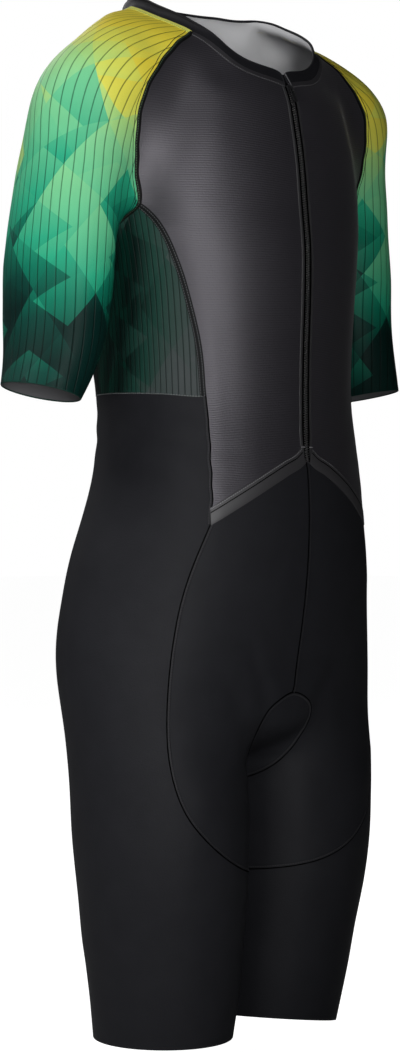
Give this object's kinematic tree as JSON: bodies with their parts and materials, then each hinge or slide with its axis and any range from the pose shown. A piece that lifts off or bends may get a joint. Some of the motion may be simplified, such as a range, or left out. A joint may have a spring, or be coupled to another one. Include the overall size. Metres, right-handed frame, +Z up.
{
  "type": "triathlon suit",
  "caption": "Short-sleeved triathlon suit with raglan sleeves, a front zip and knee-length legs, holding the hollow form it takes when worn.",
  "frame": {"origin": "middle of the neck at the height of the shoulder tops, where the wearer's shoulders hold the suit up", "axes": "+Z up along the body, the zip faces -Y, and the wearer's right is -X"},
  "size_m": [0.503, 0.2446, 1.0067],
  "materials": {
    "front_knit": "charcoal stretch knit with a fine horizontal rib",
    "side_knit": "dark green ribbed mesh knit",
    "sleeve_knit": "ribbed knit with a printed mosaic from yellow through green to near black",
    "leg_knit": "smooth black compression knit with a soft sheen",
    "trim": "black elastic binding",
    "zip_plastic": "black moulded zip with satin slider and pull"
  },
  "bodies": {
    "suit": {"front_right": "front_knit", "front_left": "front_knit", "hem_band_right": "front_knit", "hem_band_left": "front_knit", "side_right": "side_knit", "side_left": "side_knit", "back": "leg_knit", "sleeve_right": "sleeve_knit", "sleeve_left": "sleeve_knit", "collar": "trim", "hip_right": "leg_knit", "hip_left": "leg_knit", "thigh_right": "leg_knit", "thigh_left": "leg_knit", "gusset": "leg_knit", "zip": "zip_plastic", "zip_slider": "zip_plastic"},
    "pull": {"zip_pull": "zip_plastic"}
  },
  "joints": [
    {"name": "pull_hinge", "type": "hinge", "parent": "suit", "child": "pull", "pos_m": [0, -0.09788, -0.07759], "axis": [-1, 0, 0], "range_deg": [0, 150]}
  ]
}
